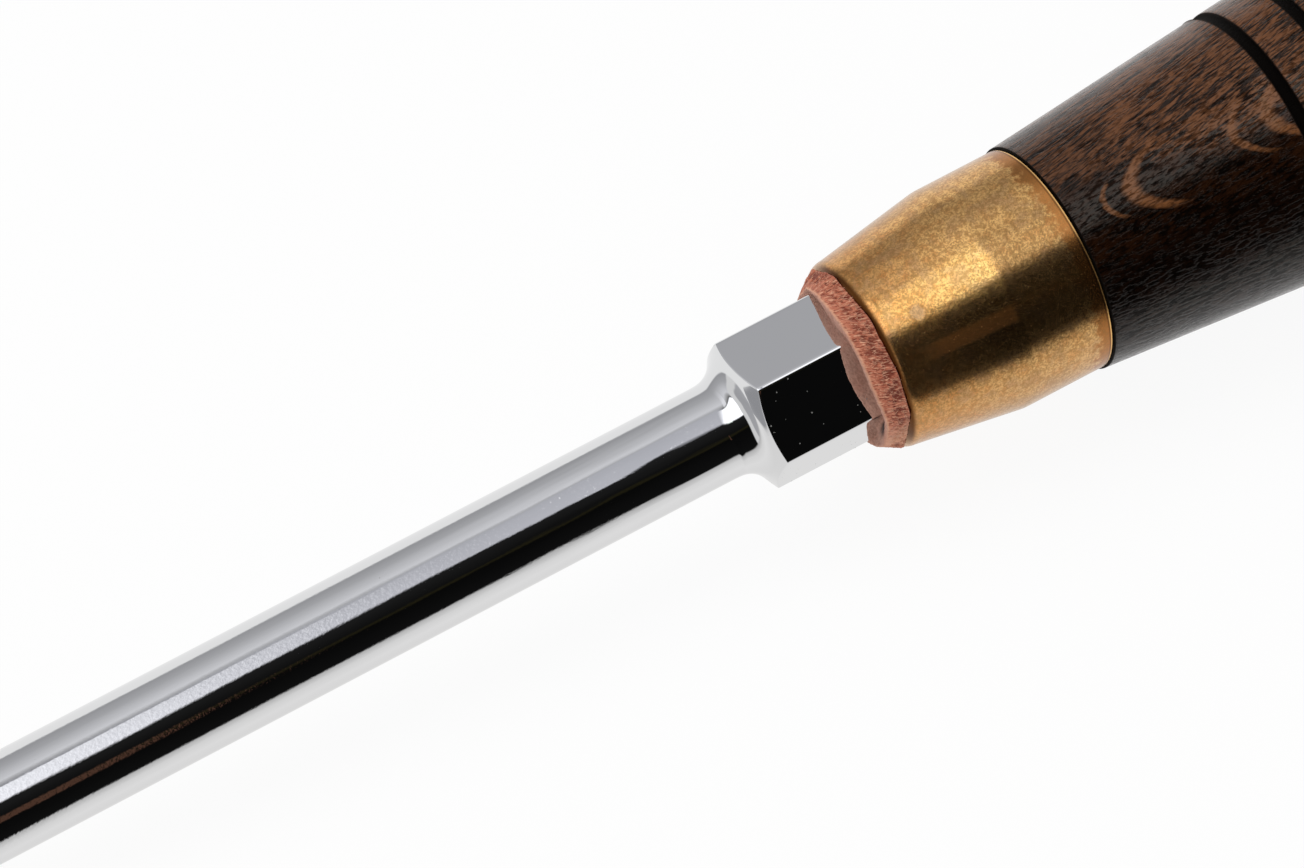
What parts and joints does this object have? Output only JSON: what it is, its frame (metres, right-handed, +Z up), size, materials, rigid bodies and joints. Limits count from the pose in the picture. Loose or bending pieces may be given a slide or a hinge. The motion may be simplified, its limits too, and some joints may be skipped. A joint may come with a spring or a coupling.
{
  "type": "flathead screwdriver",
  "caption": "Flathead screwdriver with a chromed round shank, hexagonal bolster, leather shock washer, brass ferrule and dark turned wooden handle, for driving slotted screws.",
  "frame": {"origin": "on the floor under the middle of the tool as it lies at rest on the shank's front end and the handle's swell", "axes": "+X runs along the tool from the tip to the butt, +Z is up; the tool's own axis rises by 2.68 degrees from the tip to the butt, and the tip's flat faces and two of the hexagon's flats face up and down"},
  "size_m": [0.2826, 0.0274, 0.028],
  "materials": {
    "chrome": "bright chrome plate",
    "red_leather": "raw cut leather edge, fibrous",
    "aged_brass": "aged brass, lightly mottled and scratched",
    "dark_wood": "dark stained and waxed, satin",
    "brown_leather": "compressed leather disc",
    "steel": "turned steel"
  },
  "bodies": {
    "root": {"blade": "chrome", "bolster_washer": "red_leather", "ferrule": "aged_brass", "handle": "dark_wood", "butt_washer": "brown_leather", "striking_cap": "steel"}
  },
  "joints": []
}
